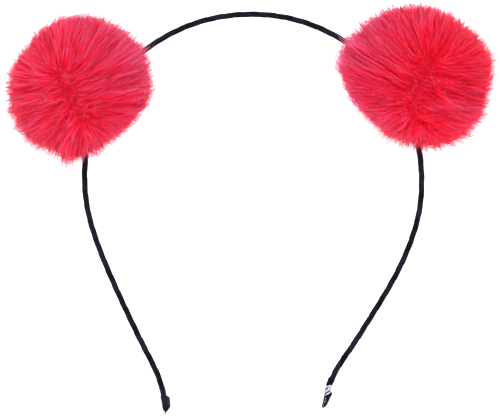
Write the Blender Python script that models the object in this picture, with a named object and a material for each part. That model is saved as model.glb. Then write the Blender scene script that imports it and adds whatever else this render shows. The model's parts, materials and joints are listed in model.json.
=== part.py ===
"""Pompom headband: a wire band wound with black ribbon, with a ball of crimson fur on each side.

Metres, +Z up. The headband lies on a surface, front up, on its two fur balls and its two tips.
It is drawn flat in its own plane: the crown at the origin, +X to the right, +Y from the tips
towards the crown and +Z to the front. An empty then tilts it to its resting pose.
"""

import math
import random
from collections import namedtuple

import bmesh
import bpy
import numpy as np
from mathutils import Matrix, Vector

# Band: half its width at the widest, and its height from the crown to the tips
BAND_HALF_WIDTH = 0.0675
BAND_HEIGHT = 0.1576

# Spring wire and the ribbon wound round it
WIRE_RADIUS = 0.0006
WIRE_PLAY = 0.00015
RIBBON_THICKNESS = 0.0003
CLEARANCE = 0.0003
BAND_STEP = 0.0058
WIRE_SIDES = 6
WRAP_SIDES = 8

# Left tip: the ribbon is folded over the end of the wire and stuck down on the inner side
FOLD_LENGTH = 0.0058
FOLD_WIDTH = 0.0036
FOLD_DEPTH = 0.0027
FOLD_END_WALL = 0.0012

# Right tip: bright tape laid bare between the wrap and a cap of ribbon, with a loose strip on it
OPEN_LENGTH = 0.0039
TAPE_THICKNESS = 0.0002
STRIP_WIDTH = 0.0006
STRIP_TURNS = 1.35
STRIP_STEPS = 12
CAP_LENGTH = 0.0054
CAP_RADIUS = 0.00135
CAP_END_WALL = 0.0011
TIP_SIDES = 12

# Outlines of the tips, from their ends inwards: shares of the length and of the width
TipSection = namedtuple("TipSection", "from_end width")
FOLD_OUTLINE = [
    TipSection(1.00, 0.80),
    TipSection(0.90, 0.97),
    TipSection(0.60, 1.00),
    TipSection(0.28, 0.97),
    TipSection(0.10, 0.80),
    TipSection(0.00, 0.42),
]
CAP_OUTLINE = [
    TipSection(1.00, 0.88),
    TipSection(0.88, 1.00),
    TipSection(0.55, 0.92),
    TipSection(0.25, 0.76),
    TipSection(0.07, 0.62),
    TipSection(0.00, 0.40),
]

# Fur balls
POMPOM_RADIUS = 0.0302
HEAD_RADIUS = 0.0175
DEPTH_SHARE = 0.97
FLOOR_PRESS = 0.0024
LOCK_SPLITS = 3
LOCK_FULLNESS = 0.92
LOCK_KNEE_SHARE = 0.85
LOCK_LEAN = math.radians(17)
LOCK_SWIRL = math.radians(9)
LOCK_LENGTH_SPREAD = 0.035

# Thread that binds each ball to the band, inside the fur
TIE_LENGTH = 0.006
TIE_WALL = 0.0006

# Band outline, from the crown down each leg: shares of the half width and of the height
LegPoint = namedtuple("LegPoint", "out down")
LEFT_LEG = [
    LegPoint(0.288, 0.016),
    LegPoint(0.525, 0.059),
    LegPoint(0.690, 0.110),
    LegPoint(0.835, 0.180),
    LegPoint(0.942, 0.270),
    LegPoint(0.995, 0.415),
    LegPoint(0.977, 0.495),
    LegPoint(0.930, 0.568),
    LegPoint(0.836, 0.669),
    LegPoint(0.727, 0.771),
    LegPoint(0.634, 0.852),
    LegPoint(0.564, 0.913),
    LegPoint(0.533, 0.954),
    LegPoint(0.516, 1.000),
]
RIGHT_LEG = [
    LegPoint(0.282, 0.017),
    LegPoint(0.471, 0.050),
    LegPoint(0.655, 0.100),
    LegPoint(0.830, 0.175),
    LegPoint(0.945, 0.270),
    LegPoint(1.002, 0.415),
    LegPoint(0.990, 0.495),
    LegPoint(0.945, 0.568),
    LegPoint(0.840, 0.669),
    LegPoint(0.697, 0.771),
    LegPoint(0.575, 0.852),
    LegPoint(0.484, 0.913),
    LegPoint(0.447, 0.954),
    LegPoint(0.417, 1.000),
]

# Where each ball is bound: a share of its leg, from the crown down, and how far its middle lies
# outside the band, as a share of its radius
Seat = namedtuple("Seat", "side down_leg out")
LEFT_SEAT = Seat(-1, 0.358, 0.37)
RIGHT_SEAT = Seat(1, 0.327, 0.31)

# Outline of each ball from the front: how far the fur reaches, as a share of its radius
Reach = namedtuple("Reach", "around_deg share")
LEFT_OUTLINE = [
    Reach(0, 0.98),
    Reach(30, 1.01),
    Reach(60, 0.97),
    Reach(90, 0.95),
    Reach(120, 0.92),
    Reach(150, 0.92),
    Reach(180, 0.96),
    Reach(210, 0.98),
    Reach(240, 1.00),
    Reach(270, 0.95),
    Reach(300, 0.88),
    Reach(330, 0.90),
]
RIGHT_OUTLINE = [
    Reach(0, 1.00),
    Reach(30, 0.97),
    Reach(60, 0.94),
    Reach(90, 0.95),
    Reach(120, 0.98),
    Reach(150, 1.06),
    Reach(180, 1.04),
    Reach(210, 0.94),
    Reach(240, 0.93),
    Reach(270, 0.98),
    Reach(300, 1.03),
    Reach(330, 1.01),
]

# The point that the fur is combed away from, on the front of each ball
LEFT_WHORL = Vector((-0.04, -0.12, 1.0)).normalized()
RIGHT_WHORL = Vector((-0.06, -0.05, 1.0)).normalized()

# Sizes that follow from those above
BORE_RADIUS = WIRE_RADIUS + WIRE_PLAY
WRAP_RADIUS = BORE_RADIUS + RIBBON_THICKNESS
TAPE_RADIUS = BORE_RADIUS + TAPE_THICKNESS
STRIP_BORE_RADIUS = TAPE_RADIUS + WIRE_PLAY
TIE_BORE_RADIUS = WRAP_RADIUS + CLEARANCE
TIE_RADIUS = TIE_BORE_RADIUS + TIE_WALL
BALL_HEIGHT = POMPOM_RADIUS * DEPTH_SHARE - FLOOR_PRESS
FRONT = Vector((0, 0, 1))


def clear_scene():
    for old in list(bpy.data.objects):
        bpy.data.objects.remove(old)


def finish(name, red, green, blue, roughness, metallic=0.0):
    """A plain Principled material in the piece's own colour."""
    made = bpy.data.materials.new(name)
    made.use_nodes = True
    shader = made.node_tree.nodes["Principled BSDF"]
    shader.inputs["Base Color"].default_value = (red, green, blue, 1)
    shader.inputs["Roughness"].default_value = roughness
    shader.inputs["Metallic"].default_value = metallic
    return made


# The band's middle line

def spline_through(points, samples):
    """A natural cubic spline through the points, as evenly sampled points."""
    points = np.array(points)
    gaps = np.linalg.norm(np.diff(points, axis=0), axis=1)
    knots = np.concatenate([[0], np.cumsum(gaps)])
    count = len(points)
    system = np.eye(count)
    slopes = np.zeros_like(points)
    for i in range(1, count - 1):
        before, after = gaps[i - 1], gaps[i]
        system[i, i - 1 : i + 2] = before, 2 * (before + after), after
        rise_after = (points[i + 1] - points[i]) / after
        rise_before = (points[i] - points[i - 1]) / before
        slopes[i] = 6 * (rise_after - rise_before)
    bends = np.linalg.solve(system, slopes)
    at = np.linspace(0, knots[-1], samples)
    span = np.clip(np.searchsorted(knots, at, side="right") - 1, 0, count - 2)
    gap = gaps[span][:, None]
    right = (at - knots[span])[:, None]
    left = gap - right
    curve = (bends[span] * left**3 + bends[span + 1] * right**3) / (6 * gap)
    curve += (points[span] / gap - bends[span] * gap / 6) * left
    curve += (points[span + 1] / gap - bends[span + 1] * gap / 6) * right
    return curve


def band_outline():
    """Points on the middle of the wire, from the left tip over the crown to the right tip."""
    left = [(-BAND_HALF_WIDTH * p.out, -BAND_HEIGHT * p.down) for p in reversed(LEFT_LEG)]
    right = [(BAND_HALF_WIDTH * p.out, -BAND_HEIGHT * p.down) for p in RIGHT_LEG]
    return left + [(0.0, 0.0)] + right


LINE = spline_through(band_outline(), 2000)
ALONG = np.concatenate([[0], np.cumsum(np.linalg.norm(np.diff(LINE, axis=0), axis=1))])
BAND_LENGTH = float(ALONG[-1])
CROWN_AT = float(ALONG[np.argmin(np.linalg.norm(LINE, axis=1))])
CAP_START = BAND_LENGTH - CAP_LENGTH
WRAP_START = FOLD_LENGTH + CLEARANCE
WRAP_END = CAP_START - OPEN_LENGTH


def line_point(distance):
    """The point that far along the band from its left tip. Past an end it runs on straight."""
    inside = min(max(distance, 0.0), BAND_LENGTH)
    point = Vector((np.interp(inside, ALONG, LINE[:, 0]), np.interp(inside, ALONG, LINE[:, 1]), 0))
    return point + line_direction(inside) * (distance - inside)


def line_direction(distance):
    """Unit direction of the band there, towards the right tip."""
    reach = BAND_STEP / 10
    ends = np.clip([distance - reach, distance + reach], 0, BAND_LENGTH)
    start, end = [(np.interp(s, ALONG, LINE[:, 0]), np.interp(s, ALONG, LINE[:, 1])) for s in ends]
    return Vector((end[0] - start[0], end[1] - start[1], 0)).normalized()


def outward(distance):
    """Unit direction in the band's plane, away from the head."""
    return FRONT.cross(line_direction(distance))


# Skins made of rings of points

def round_ring(distance, half_width, half_depth, sides, shift=0.0):
    """A ring of points round the band's middle line, moved outwards by shift."""
    middle = line_point(distance) + outward(distance) * shift
    across = outward(distance)
    turns = [2 * math.pi * k / sides for k in range(sides)]
    return [middle + across * (half_width * math.cos(a)) + FRONT * (half_depth * math.sin(a)) for a in turns]


def skin(name, rings, material, loop=False):
    """A closed body through rings of points: capped at both ends, or joined end to end."""
    mesh = bmesh.new()
    rows = [[mesh.verts.new(point) for point in ring] for ring in rings]
    pairs = list(zip(rows, rows[1:]))
    if loop:
        pairs.append((rows[-1], rows[0]))
    else:
        mesh.faces.new(rows[0])
        mesh.faces.new(rows[-1])
    for near, far in pairs:
        for k in range(len(near)):
            mesh.faces.new((near[k - 1], near[k], far[k], far[k - 1]))
    bmesh.ops.recalc_face_normals(mesh, faces=mesh.faces)
    return piece(name, mesh, material)


def piece(name, mesh, material):
    data = bpy.data.meshes.new(name)
    mesh.to_mesh(data)
    mesh.free()
    data.shade_smooth()
    data.set_sharp_from_angle(angle=math.radians(40))
    data.materials.append(material)
    made = bpy.data.objects.new(name, data)
    made.parent = bpy.data.objects["headband"]
    bpy.context.scene.collection.objects.link(made)
    return made


def stops(start, end, step):
    return np.linspace(start, end, max(2, math.ceil((end - start) / step) + 1))


# Band: wire, wrap and the two tips

def sleeve_rings(start, end, step, bore, radius, sides):
    """Rings up the outside and back down the inside of a sleeve."""
    at = stops(start, end, step)
    outer = [round_ring(s, radius, radius, sides) for s in at]
    inner = [round_ring(s, bore, bore, sides) for s in reversed(at)]
    return outer + inner


def make_wire(steel):
    start = FOLD_END_WALL + CLEARANCE
    end = BAND_LENGTH - CAP_END_WALL - CLEARANCE
    rings = [round_ring(s, WIRE_RADIUS, WIRE_RADIUS, WIRE_SIDES) for s in stops(start, end, BAND_STEP)]
    return skin("band_wire", rings, steel)


def make_wrap(ribbon):
    rings = sleeve_rings(WRAP_START, WRAP_END, BAND_STEP, BORE_RADIUS, WRAP_RADIUS, WRAP_SIDES)
    return skin("band_wrap", rings, ribbon, loop=True)


def bore_rings(floor, mouth):
    """Rings of a blind hole for the end of the wire, from its floor to its mouth."""
    return [round_ring(s, BORE_RADIUS, BORE_RADIUS, TIP_SIDES) for s in (floor, mouth)]


def make_fold(ribbon):
    """Ribbon folded over the left tip. Its outer edge stays in line with the wrap."""
    half_width = FOLD_WIDTH / 2
    inwards = WRAP_RADIUS - half_width
    outside = [
        round_ring(
            FOLD_LENGTH * row.from_end,
            half_width * row.width,
            FOLD_DEPTH / 2 * row.width,
            TIP_SIDES,
            shift=inwards * row.width,
        )
        for row in FOLD_OUTLINE
    ]
    return skin("ribbon_fold_left", bore_rings(FOLD_END_WALL, FOLD_LENGTH) + outside, ribbon)


def make_tape(tape):
    start, end = WRAP_END + CLEARANCE, CAP_START - CLEARANCE
    rings = sleeve_rings(start, end, BAND_STEP / 2, BORE_RADIUS, TAPE_RADIUS, TIP_SIDES)
    return skin("tape_right", rings, tape, loop=True)


def make_strip(ribbon):
    """A narrow strip of ribbon wound loosely round the tape as a helix."""
    half_width = STRIP_WIDTH / 2
    start = WRAP_END + CLEARANCE + half_width
    end = CAP_START - CLEARANCE - half_width
    rings = []
    for share in np.linspace(0, 1, math.ceil(STRIP_TURNS * STRIP_STEPS)):
        middle = start + (end - start) * share
        angle = 2 * math.pi * STRIP_TURNS * share
        radial = outward(middle) * math.cos(angle) + FRONT * math.sin(angle)
        edge = line_direction(middle) * half_width
        inner = line_point(middle) + radial * STRIP_BORE_RADIUS
        outer = inner + radial * RIBBON_THICKNESS
        rings.append([inner - edge, outer - edge, outer + edge, inner + edge])
    return skin("ribbon_strip_right", rings, ribbon)


def make_cap(ribbon):
    """Ribbon closed over the right tip, narrowing to a blunt end."""
    outside = [
        round_ring(
            BAND_LENGTH - CAP_LENGTH * row.from_end,
            CAP_RADIUS * row.width,
            CAP_RADIUS * row.width,
            TIP_SIDES,
        )
        for row in CAP_OUTLINE
    ]
    return skin("ribbon_cap_right", bore_rings(BAND_LENGTH - CAP_END_WALL, CAP_START) + outside, ribbon)


# Fur balls

def seat_distance(seat):
    """How far along the band, from the left tip, a ball is bound to it."""
    if seat.side < 0:
        return CROWN_AT * (1 - seat.down_leg)
    return CROWN_AT + (BAND_LENGTH - CROWN_AT) * seat.down_leg


def ball_centre(seat):
    distance = seat_distance(seat)
    return line_point(distance) + outward(distance) * (POMPOM_RADIUS * seat.out)


def outline_share(direction, outline):
    """How far the fur reaches in that direction, as a share of the ball's radius."""
    around = math.degrees(math.atan2(direction.y, direction.x)) % 360
    angles = [row.around_deg for row in outline] + [360]
    shares = [row.share for row in outline] + [outline[0].share]
    in_plane = math.hypot(direction.x, direction.y)
    return DEPTH_SHARE + (np.interp(around, angles, shares) - DEPTH_SHARE) * in_plane


def combed(direction, whorl, share):
    """The direction turned away from the whorl, and a little round it, as combed fur lies."""
    from_whorl = direction.angle(whorl)
    axis = whorl.cross(direction)
    if axis.length < 1e-6:
        return direction.copy()
    lean = Matrix.Rotation(LOCK_LEAN * share * math.sin(from_whorl), 3, axis)
    swirl = Matrix.Rotation(LOCK_SWIRL * share * math.sin(from_whorl), 3, whorl)
    return (swirl @ (lean @ direction)).normalized()


def make_ball(name, seat, outline, whorl, fur, seed, floor):
    """A round head with one tapering lock of fur grown from each of its facets."""
    shuffle = random.Random(seed)
    mesh = bmesh.new()
    bmesh.ops.create_icosphere(mesh, subdivisions=LOCK_SPLITS, radius=HEAD_RADIUS)
    grown = bmesh.ops.extrude_discrete_faces(mesh, faces=mesh.faces)["faces"]
    for facet in grown:
        middle = facet.calc_center_median().normalized()
        length = POMPOM_RADIUS * outline_share(combed(middle, whorl, 1), outline)
        for corner in facet.verts:
            knee = middle.lerp(corner.co.normalized(), LOCK_FULLNESS).normalized()
            corner.co = combed(knee, whorl, 0.5) * (length * LOCK_KNEE_SHARE)
        (tip,) = bmesh.ops.poke(mesh, faces=[facet])["verts"]
        spread = 1 + shuffle.uniform(-LOCK_LENGTH_SPREAD, LOCK_LENGTH_SPREAD)
        tip.co = combed(middle, whorl, 1) * (length * spread)
    made = piece(name, mesh, fur)
    made.location = ball_centre(seat)
    carve(made, [floor, make_tunnel(name, seat)])
    return made


def make_tunnel(name, seat):
    """Cutter for the way through a ball: clear of the band, and wider where it is bound."""
    middle = seat_distance(seat)
    reach = POMPOM_RADIUS * 1.3
    pocket = TIE_LENGTH / 2 + CLEARANCE
    narrow, wide = TIE_BORE_RADIUS, TIE_RADIUS + CLEARANCE
    lip = CLEARANCE / 10
    before = [(s, narrow) for s in stops(middle - reach, middle - pocket - lip, BAND_STEP)]
    bound = [(s, wide) for s in stops(middle - pocket, middle + pocket, BAND_STEP)]
    after = [(s, narrow) for s in stops(middle + pocket + lip, middle + reach, BAND_STEP)]
    rings = [round_ring(s, radius, radius, WRAP_SIDES) for s, radius in before + bound + after]
    tunnel = skin(name + "_tunnel", rings, None)
    return as_cutter(tunnel)


def make_tie(name, seat, thread):
    """Thread bound round the wrap, hidden in the fur."""
    middle = seat_distance(seat)
    start, end = middle - TIE_LENGTH / 2, middle + TIE_LENGTH / 2
    rings = sleeve_rings(start, end, BAND_STEP, TIE_BORE_RADIUS, TIE_RADIUS, WRAP_SIDES)
    return skin(name, rings, thread, loop=True)


def as_cutter(helper):
    helper.hide_render = True
    helper.display_type = "WIRE"
    return helper


def carve(made, cutters):
    """Cuts the cutters' shapes out of a ball, then drops the ends of locks that this cuts off.

    Locks can graze their neighbours, so the cut also merges what runs into itself.
    """
    for cutter in cutters:
        modifier = made.modifiers.new("cut by " + cutter.name, "BOOLEAN")
        modifier.use_self = True
        modifier.object = cutter
    bpy.context.view_layer.update()
    mesh = bmesh.new()
    mesh.from_object(made, bpy.context.evaluated_depsgraph_get())
    made.modifiers.clear()
    bodies = sorted(separate_bodies(mesh), key=len)
    for body in bodies[:-1]:
        bmesh.ops.delete(mesh, geom=body, context="FACES")
    mesh.to_mesh(made.data)
    mesh.free()


def separate_bodies(mesh):
    """The mesh's faces, in groups that hang together."""
    waiting = set(mesh.faces)
    bodies = []
    while waiting:
        body = [waiting.pop()]
        for face in body:
            beside = {other for edge in face.edges for other in edge.link_faces} & waiting
            waiting -= beside
            body.extend(beside)
        bodies.append(body)
    return bodies


# Resting pose

def resting_tilt():
    """Tilt at which the first tip meets the surface, with the left ball pressed a little flat."""
    fold = [(FOLD_LENGTH * row.from_end, FOLD_DEPTH / 2 * row.width) for row in FOLD_OUTLINE]
    cap = [(BAND_LENGTH - CAP_LENGTH * row.from_end, CAP_RADIUS * row.width) for row in CAP_OUTLINE]
    tilts = []
    for distance, half_depth in fold + cap:
        span = ball_centre(LEFT_SEAT).y - line_point(distance).y
        slant = math.hypot(span, half_depth)
        tilts.append(math.asin(BALL_HEIGHT / slant) - math.atan2(half_depth, span))
    return min(tilts)


def make_headband():
    """The empty that carries every piece, tilted about X and lifted to rest on z = 0."""
    headband = bpy.data.objects.new("headband", None)
    bpy.context.scene.collection.objects.link(headband)
    tilt = resting_tilt()
    headband.rotation_euler.x = tilt
    headband.location.z = BALL_HEIGHT - ball_centre(LEFT_SEAT).y * math.sin(tilt)
    return headband


def centre_on_origin(headband, pieces):
    """Moves the headband sideways, so that the middle of its finished box is over the origin."""
    bpy.context.view_layer.update()
    graph = bpy.context.evaluated_depsgraph_get()
    corners = []
    for made in pieces:
        shown = made.evaluated_get(graph)
        corners += [shown.matrix_world @ vertex.co for vertex in shown.data.vertices]
    for axis in (0, 1):
        values = [corner[axis] for corner in corners]
        headband.location[axis] -= (min(values) + max(values)) / 2


def make_floor():
    """Cutter for what the fur is pressed flat against: a block under z = 0."""
    side = 4 * BAND_HEIGHT
    mesh = bmesh.new()
    bmesh.ops.create_cube(mesh, size=side)
    bmesh.ops.translate(mesh, verts=mesh.verts, vec=(0, 0, -side / 2))
    data = bpy.data.meshes.new("floor")
    mesh.to_mesh(data)
    mesh.free()
    block = bpy.data.objects.new("floor", data)
    bpy.context.scene.collection.objects.link(block)
    return as_cutter(block)


clear_scene()
headband = make_headband()
floor = make_floor()

steel = finish("spring steel", 0.62, 0.62, 0.66, 0.28, metallic=1.0)
ribbon = finish("black satin ribbon", 0.012, 0.013, 0.02, 0.45)
tape = finish("bright film tape", 0.72, 0.73, 0.78, 0.3)
fur = finish("crimson faux fur", 0.78, 0.025, 0.06, 0.8)
thread = finish("sewing thread", 0.015, 0.015, 0.018, 0.7)

pieces = [
    make_wire(steel),
    make_wrap(ribbon),
    make_fold(ribbon),
    make_tape(tape),
    make_strip(ribbon),
    make_cap(ribbon),
    make_ball("pompom_left", LEFT_SEAT, LEFT_OUTLINE, LEFT_WHORL, fur, seed=3, floor=floor),
    make_ball("pompom_right", RIGHT_SEAT, RIGHT_OUTLINE, RIGHT_WHORL, fur, seed=8, floor=floor),
    make_tie("pompom_tie_left", LEFT_SEAT, thread),
    make_tie("pompom_tie_right", RIGHT_SEAT, thread),
]
centre_on_origin(headband, pieces)
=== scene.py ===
# Pompom headband, dressed for its picture: fur, ribbon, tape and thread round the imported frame.
# Metres. Each piece is drawn flat in the band's own plane (crown at 0, x to the right, y up the
# photo, z to the front) and then laid back with the band.
import json
import math

import bpy
import numpy as np
from mathutils import Matrix, Vector


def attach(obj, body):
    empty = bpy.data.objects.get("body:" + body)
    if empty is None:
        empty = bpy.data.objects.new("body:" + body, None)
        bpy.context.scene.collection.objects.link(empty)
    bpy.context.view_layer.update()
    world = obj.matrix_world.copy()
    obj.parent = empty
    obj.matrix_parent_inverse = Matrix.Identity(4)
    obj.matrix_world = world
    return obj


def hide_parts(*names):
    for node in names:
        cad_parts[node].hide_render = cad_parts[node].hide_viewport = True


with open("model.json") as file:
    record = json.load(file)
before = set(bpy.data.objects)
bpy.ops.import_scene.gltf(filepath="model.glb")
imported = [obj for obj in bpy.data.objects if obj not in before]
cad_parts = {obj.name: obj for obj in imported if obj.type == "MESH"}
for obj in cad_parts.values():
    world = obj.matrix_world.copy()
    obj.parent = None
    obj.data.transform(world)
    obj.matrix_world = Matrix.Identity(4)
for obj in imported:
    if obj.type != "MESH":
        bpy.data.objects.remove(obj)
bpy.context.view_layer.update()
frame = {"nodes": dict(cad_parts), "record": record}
print("frame loaded:", len(frame["nodes"]), "nodes")


# the band's middle line, as the frame has it

band = {
    "halfWidth": 0.0675,
    "height": 0.1576,
    "wrapRadius": 0.00105,
    "foldLength": 0.0058,  # folded ribbon at the left tip
    "capLength": 0.0054,  # closed ribbon at the right tip
    "openLength": 0.0039,  # bright tape between wrap and cap
    "samples": 2000,
    "headingReach": 0.0006,  # a heading is read this far to both sides
    # shares of the half width and of the height, from the crown down: out, down
    "leftLeg": [
        (0.288, 0.016), (0.525, 0.059), (0.690, 0.110), (0.835, 0.180), (0.942, 0.270),
        (0.995, 0.415), (0.977, 0.495), (0.930, 0.568), (0.836, 0.669), (0.727, 0.771),
        (0.634, 0.852), (0.564, 0.913), (0.533, 0.954), (0.516, 1.000),
    ],
    "rightLeg": [
        (0.282, 0.017), (0.471, 0.050), (0.655, 0.100), (0.830, 0.175), (0.945, 0.270),
        (1.002, 0.415), (0.990, 0.495), (0.945, 0.568), (0.840, 0.669), (0.697, 0.771),
        (0.575, 0.852), (0.484, 0.913), (0.447, 0.954), (0.417, 1.000),
    ],
}


def smoothLine(points, samples):
    # natural cubic spline through the points
    points = np.array(points)
    gaps = np.linalg.norm(np.diff(points, axis=0), axis=1)
    knots = np.concatenate([[0], np.cumsum(gaps)])
    count = len(points)
    system, rises = np.eye(count), np.zeros_like(points)
    for i in range(1, count - 1):
        before, after = gaps[i - 1], gaps[i]
        system[i, i - 1:i + 2] = before, 2 * (before + after), after
        rises[i] = 6 * ((points[i + 1] - points[i]) / after - (points[i] - points[i - 1]) / before)
    bends = np.linalg.solve(system, rises)
    at = np.linspace(0, knots[-1], samples)
    span = np.clip(np.searchsorted(knots, at, side="right") - 1, 0, count - 2)
    gap, right = gaps[span][:, None], (at - knots[span])[:, None]
    left = gap - right
    curve = (bends[span] * left**3 + bends[span + 1] * right**3) / (6 * gap)
    curve += (points[span] / gap - bends[span] * gap / 6) * left
    return curve + (points[span + 1] / gap - bends[span + 1] * gap / 6) * right


leftSide = [(-band["halfWidth"] * out, -band["height"] * down) for out, down in band["leftLeg"]]
rightSide = [(band["halfWidth"] * out, -band["height"] * down) for out, down in band["rightLeg"]]
bandLine = smoothLine(leftSide[::-1] + [(0.0, 0.0)] + rightSide, band["samples"])
alongBand = np.concatenate([[0], np.cumsum(np.linalg.norm(np.diff(bandLine, axis=0), axis=1))])
bandLength = float(alongBand[-1])
crownAt = float(alongBand[np.argmin(np.linalg.norm(bandLine, axis=1))])

# the band's plane in the frame: its crown sits a wrap's radius above the head seat
headSeat = next(m for m in frame["record"]["mounts"] if m["name"] == "head_seat")
upward = -Vector(headSeat["axis"]).normalized()
crown = Vector(headSeat["pos_m"]) + upward * band["wrapRadius"]
rightward = Vector((1, 0, 0))
forward = rightward.cross(upward)
bandPlane = Matrix.Translation(crown) @ Matrix((rightward, upward, forward)).transposed().to_4x4()
print("band line:", round(bandLength * 1000, 1), "mm")


def onLine(distance):
    return [np.interp(distance, alongBand, bandLine[:, axis]) for axis in (0, 1)]


def bandPoint(distance):
    # point that far along the band from its left tip, running on straight past an end
    inside = min(max(distance, 0.0), bandLength)
    return Vector((*onLine(inside), 0)) + bandDirection(inside) * (distance - inside)


def bandDirection(distance):
    reach = band["headingReach"]
    start, end = [onLine(s) for s in np.clip([distance - reach, distance + reach], 0, bandLength)]
    return Vector((end[0] - start[0], end[1] - start[1], 0)).normalized()


def bandOutward(distance):
    return Vector((0, 0, 1)).cross(bandDirection(distance))


# materials: each is named for the real one

def linear(hexColour):
    # sRGB hex to the linear colour that the shader takes
    parts = [int(hexColour[i:i + 2], 16) / 255 for i in (1, 3, 5)]
    return tuple(p / 12.92 if p <= 0.04045 else ((p + 0.055) / 1.055) ** 2.4 for p in parts) + (1.0,)


def addNode(tree, kind, settings=None, inputs=None):
    # one node, its settings, and its inputs by name or number: a socket is linked, a value is set
    node = tree.nodes.new("ShaderNode" + kind)
    for name, value in (settings or {}).items():
        setattr(node, name, value)
    for name, value in (inputs or {}).items():
        if isinstance(value, bpy.types.NodeSocket):
            tree.links.new(value, node.inputs[name])
        else:
            node.inputs[name].default_value = value
    return node


def startMaterial(name, shaderValues):
    material = bpy.data.materials.new(name)
    material.use_nodes = True
    tree = material.node_tree
    shader = tree.nodes["Principled BSDF"]
    for socket, value in shaderValues.items():
        shader.inputs[socket].default_value = value
    return material, tree, shader


def setRamp(node, stops):
    # colour ramp stops as (place, hex)
    ramp = node.color_ramp
    while len(ramp.elements) > len(stops):
        ramp.elements.remove(ramp.elements[-1])
    while len(ramp.elements) < len(stops):
        ramp.elements.new(1.0)
    for element, (place, hexColour) in zip(ramp.elements, stops):
        element.position, element.color = place, linear(hexColour)


def furMaterial():
    # dyed modacrylic pile, with painted shade and light along each strand: the deep crimson at the
    # roots is painted shade, and the pinker thin tips are painted light that gets through them
    material, tree, shader = startMaterial("dyedModacrylicFur", {
        "Roughness": 0.55, "Specular IOR Level": 0.12,
        # light passes through a strand into the ones below it, which keeps the gaps between them red
        "Subsurface Weight": 0.7, "Subsurface Scale": 0.0008, "Subsurface Radius": (1.0, 0.35, 0.35),
    })
    strand = addNode(tree, "UVMap", {"uv_map": "OFBake"})
    parts = addNode(tree, "SeparateXYZ", inputs={"Vector": strand.outputs["UV"]})
    # v runs from root to tip: deeper roots are painted shade and pinker tips painted light; the mix
    # to the pale ramp by u carries each strand's shade, painted light and shade by place included
    deep = addNode(tree, "ValToRGB", inputs={"Fac": parts.outputs["Y"]})
    setRamp(deep, [(0.0, "#ff0410"), (0.4, "#ff061b"), (0.8, "#ff1235"), (1.0, "#ea285c")])
    pale = addNode(tree, "ValToRGB", inputs={"Fac": parts.outputs["Y"]})
    setRamp(pale, [(0.0, "#ff081d"), (0.4, "#ff1c46"), (0.8, "#f0467e"), (1.0, "#d676a4")])
    mixed = addNode(tree, "Mix", {"data_type": "RGBA"}, {
        0: parts.outputs["X"], 6: deep.outputs["Color"], 7: pale.outputs["Color"],
    })
    tree.links.new(mixed.outputs[2], shader.inputs["Base Color"])
    return material


def furBackingMaterial():
    # knitted backing and the short underfur on it: matt, deep crimson, with tufts a millimetre wide
    material, tree, shader = startMaterial("crimsonUnderfur", {
        "Roughness": 0.85, "Specular IOR Level": 0.2,
    })
    place = addNode(tree, "TexCoord")
    tufts = addNode(tree, "TexNoise", inputs={  # 900 to the metre, 1.1 mm each
        "Vector": place.outputs["Object"], "Scale": 900.0, "Detail": 3.0,
    })
    colour = addNode(tree, "ValToRGB", inputs={"Fac": tufts.outputs["Fac"]})
    setRamp(colour, [(0.3, "#f20818"), (0.7, "#fb1028")])
    bump = addNode(tree, "Bump", inputs={
        "Height": tufts.outputs["Fac"], "Strength": 0.6, "Distance": 0.0004,
    })
    tree.links.new(colour.outputs["Color"], shader.inputs["Base Color"])
    tree.links.new(bump.outputs["Normal"], shader.inputs["Normal"])
    return material


def ribbonMaterial():
    # polyester satin: floating warp threads give it a soft blue-black sheen, partly painted as
    # lighter patches in its colour. Real threads lie 0.06 mm apart, too fine to show, so the grain is
    # drawn 0.4 mm coarse, with lighter patches 6 mm long over it that are painted sheen
    material, tree, shader = startMaterial("polyesterSatin", {
        "Roughness": 0.62, "Specular IOR Level": 0.045,
    })
    place = addNode(tree, "TexCoord")
    threads = addNode(tree, "TexNoise", inputs={
        "Vector": place.outputs["Object"], "Scale": 2400.0, "Detail": 2.0,
    })
    paintedSheenPatches = addNode(tree, "TexNoise", inputs={
        "Vector": place.outputs["Object"], "Scale": 160.0, "Detail": 1.0,
    })
    both = addNode(tree, "Math", {"operation": "MULTIPLY"}, {
        0: threads.outputs["Fac"], 1: paintedSheenPatches.outputs["Fac"],
    })
    colour = addNode(tree, "ValToRGB", inputs={"Fac": both.outputs[0]})
    setRamp(colour, [(0.15, "#020205"), (0.36, "#181827")])
    bump = addNode(tree, "Bump", inputs={
        "Height": threads.outputs["Fac"], "Strength": 0.35, "Distance": 0.00005,
    })
    tree.links.new(colour.outputs["Color"], shader.inputs["Base Color"])
    tree.links.new(bump.outputs["Normal"], shader.inputs["Normal"])
    return material


def greySatinMaterial(name, dark, light):
    # the same satin in lighter greys, frayed where threads stand up and scatter more light; the same
    # two-grey finish gives the grey film tape, whose ridges carry painted dark reflections
    material, tree, shader = startMaterial(name, {"Roughness": 0.6, "Specular IOR Level": 0.1})
    place = addNode(tree, "TexCoord")
    threads = addNode(tree, "TexNoise", inputs={
        "Vector": place.outputs["Object"], "Scale": 2400.0, "Detail": 2.0,
    })
    colour = addNode(tree, "ValToRGB", inputs={"Fac": threads.outputs["Fac"]})
    setRamp(colour, [(0.35, dark), (0.65, light)])
    tree.links.new(colour.outputs["Color"], shader.inputs["Base Color"])
    return material


def wireMaterial():
    # drawn spring steel: bright and bluish grey, with fine die marks drawn 0.7 mm coarse
    material, tree, shader = startMaterial("drawnSpringSteel", {"Metallic": 1.0, "Roughness": 0.3})
    place = addNode(tree, "TexCoord")
    lines = addNode(tree, "TexNoise", inputs={
        "Vector": place.outputs["Object"], "Scale": 1500.0, "Detail": 2.0,
    })
    colour = addNode(tree, "ValToRGB", inputs={"Fac": lines.outputs["Fac"]})
    setRamp(colour, [(0.3, "#8f9096"), (0.7, "#c4c5cb")])
    tree.links.new(colour.outputs["Color"], shader.inputs["Base Color"])
    return material


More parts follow.
